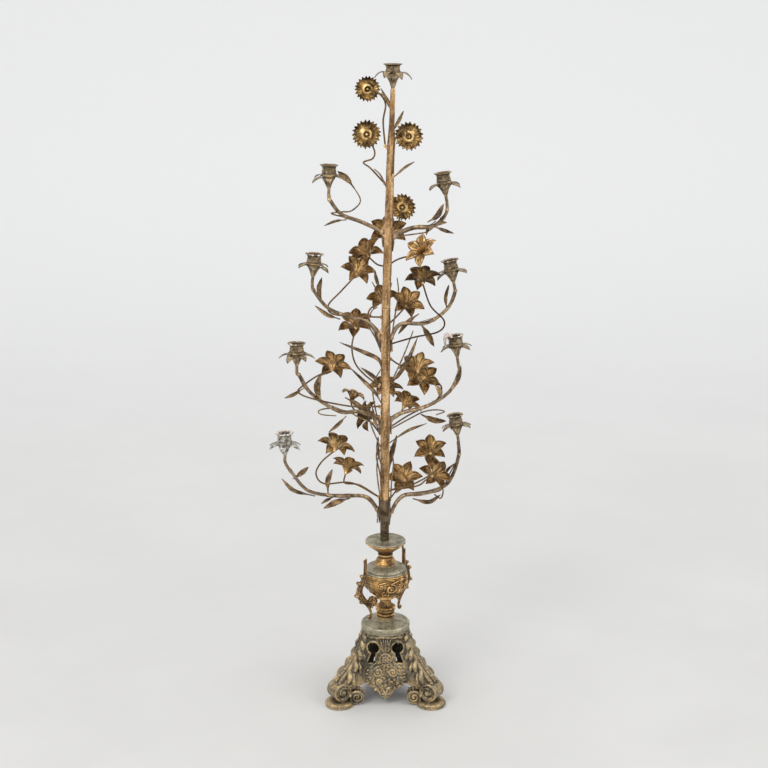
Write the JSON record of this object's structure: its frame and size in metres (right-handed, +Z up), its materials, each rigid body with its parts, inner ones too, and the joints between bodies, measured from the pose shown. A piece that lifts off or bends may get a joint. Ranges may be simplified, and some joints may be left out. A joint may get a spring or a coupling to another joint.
{
  "type": "candelabrum",
  "caption": "Altar candelabrum with a pierced tripod foot, a small two-handled urn, a dish and a tall stem bearing curved candle arms among wired lilies, daisies and leaves.",
  "frame": {"origin": "on the floor, in the middle of the overall box seen from above; the tie rod's line stands 22.5 mm to +X and 30 mm to -Y of it", "axes": "+Z up along the stem, -Y towards the side that the tripod's front panel faces, +X to the right of someone looking along +Y"},
  "size_m": [0.3541, 0.2079, 1.1306],
  "materials": {
    "gilt": "worn gilding with brown patina",
    "bronze": "dark bronzed brass, dull",
    "spelter": "grey-green oxidised zinc casting",
    "steel": "plain turned steel"
  },
  "bodies": {
    "base": {"tripod_base": "spelter", "cap_plate": "spelter", "tie_rod": "steel", "base_nut": "steel", "base_washer": "steel"},
    "urn": {"pedestal": "gilt", "urn_bowl": "gilt", "urn_shoulder": "spelter", "neck_collar": "gilt", "handle_left": "gilt", "handle_right": "gilt"},
    "dish": {"dish_bowl": "gilt", "dish_plate": "spelter"},
    "bouquet": {"stem_ferrule": "bronze", "stem_tube_lower": "gilt", "stem_tube_upper": "gilt", "arm_left_1": "bronze", "arm_right_1": "bronze", "arm_left_2": "bronze", "arm_right_2": "bronze", "arm_left_3": "bronze", "arm_right_3": "bronze", "arm_left_4": "bronze", "arm_right_4": "bronze", "calyx_left_1": "bronze", "calyx_right_1": "bronze", "calyx_left_2": "bronze", "calyx_right_2": "bronze", "calyx_left_3": "bronze", "calyx_right_3": "bronze", "calyx_left_4": "bronze", "calyx_right_4": "bronze", "calyx_top": "bronze", "nozzle_left_1": "bronze", "nozzle_right_1": "bronze", "nozzle_left_2": "bronze", "nozzle_right_2": "bronze", "nozzle_left_3": "bronze", "nozzle_right_3": "bronze", "nozzle_left_4": "bronze", "nozzle_right_4": "bronze", "nozzle_top": "bronze", "daisy_top": "gilt", "daisy_left": "gilt", "daisy_right": "gilt", "daisy_low": "gilt", "lilies_crown": "gilt", "lily_upper_left": "gilt", "lily_upper_right": "gilt", "lily_middle_right": "gilt", "lily_middle_back": "gilt", "lily_middle_left": "gilt", "lily_outer_left": "gilt", "lily_stem_right": "gilt", "lily_outer_right": "gilt", "lilies_centre_right": "gilt", "lilies_centre_left": "gilt", "lilies_lower_left": "gilt", "lily_lower_right": "gilt", "lilies_lower_outer": "gilt"}
  },
  "joints": [
    {"name": "urn_turn", "type": "hinge", "parent": "base", "child": "urn", "pos_m": [0.0225, -0.03, 0.15], "axis": [0, 0, 1], "continuous": true},
    {"name": "dish_turn", "type": "hinge", "parent": "base", "child": "dish", "pos_m": [0.0225, -0.03, 0.27], "axis": [0, 0, 1], "continuous": true},
    {"name": "bouquet_lift", "type": "slide", "parent": "dish", "child": "bouquet", "axis": [0, 0, 1], "range_m": [0, 0.045]}
  ]
}
